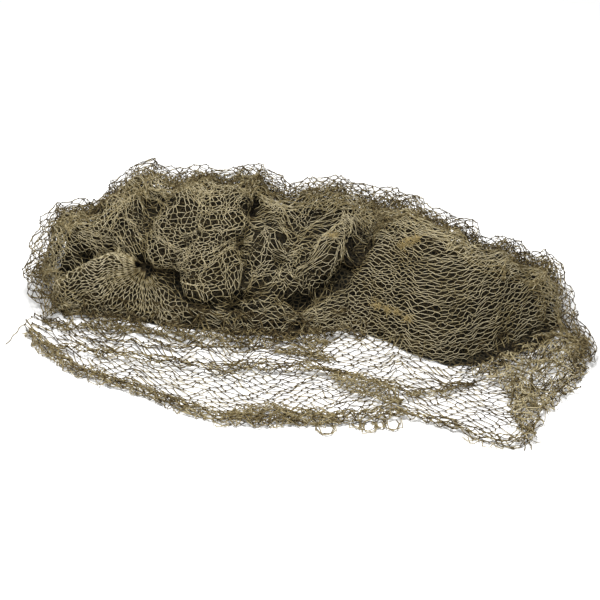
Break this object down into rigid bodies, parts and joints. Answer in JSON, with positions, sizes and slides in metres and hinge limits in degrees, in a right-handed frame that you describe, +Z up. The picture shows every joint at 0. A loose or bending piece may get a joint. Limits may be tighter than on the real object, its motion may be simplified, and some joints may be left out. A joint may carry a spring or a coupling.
{
  "type": "camouflage net",
  "caption": "Knotted khaki twine net let down in a lobed heap, with its front part spread flat as a thin apron.",
  "frame": {"origin": "middle of the whole net's underside, on the ground", "axes": "+Z up, +X along the heap's long side to the right, +Y from the apron's hem to the heap's back"},
  "size_m": [1.098, 0.8062, 0.2444],
  "materials": {
    "twine": "matt twisted cotton twine, khaki"
  },
  "bodies": {
    "root": {"netting": "twine"}
  },
  "joints": []
}
